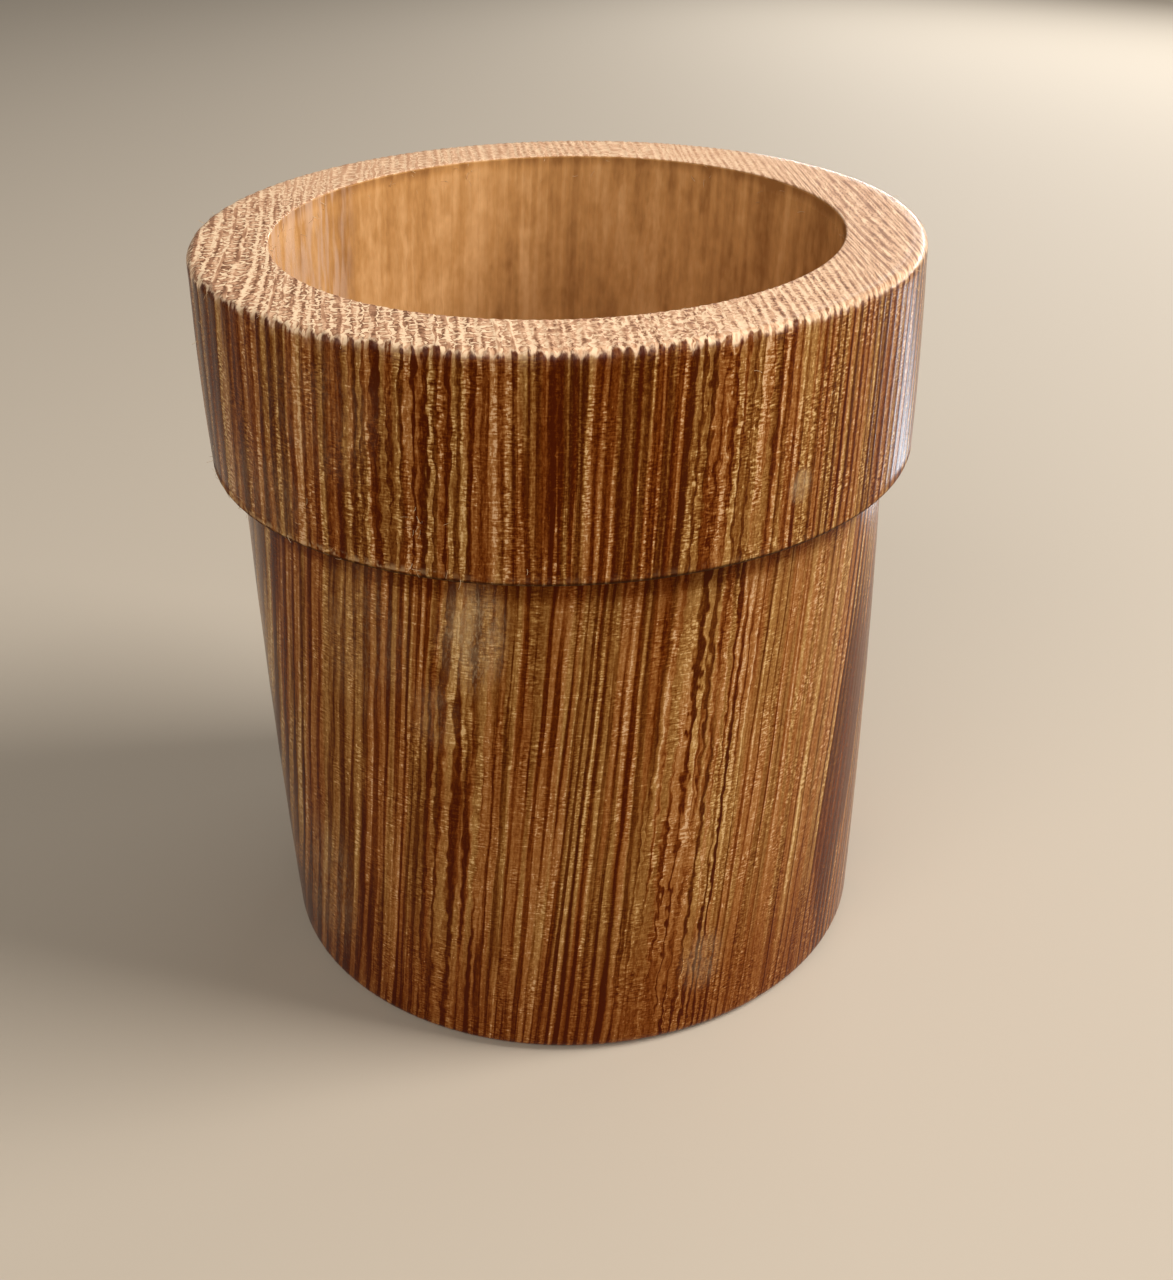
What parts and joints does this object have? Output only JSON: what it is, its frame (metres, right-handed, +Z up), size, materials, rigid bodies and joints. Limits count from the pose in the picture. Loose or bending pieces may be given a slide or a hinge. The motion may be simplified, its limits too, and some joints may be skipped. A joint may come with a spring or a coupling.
{
  "type": "tumbler",
  "caption": "Handleless turned wooden tumbler: slightly bowed barrel, wider thick collar with a flat rim around the mouth, and a base disc let into the foot.",
  "frame": {"origin": "centre of the underside, on the surface the tumbler stands on", "axes": "+Z up along the axis of turning, towards the mouth; X and Y lie in the underside"},
  "size_m": [0.0882, 0.0882, 0.0954],
  "materials": {
    "barrel_wood": "satin varnish over striped long grain",
    "collar_wood": "satin varnish on the face, worn pale end grain on the rim",
    "base_wood": "thinly oiled end grain"
  },
  "bodies": {
    "root": {"barrel": "barrel_wood", "collar": "collar_wood", "base_disc": "base_wood"}
  },
  "joints": []
}
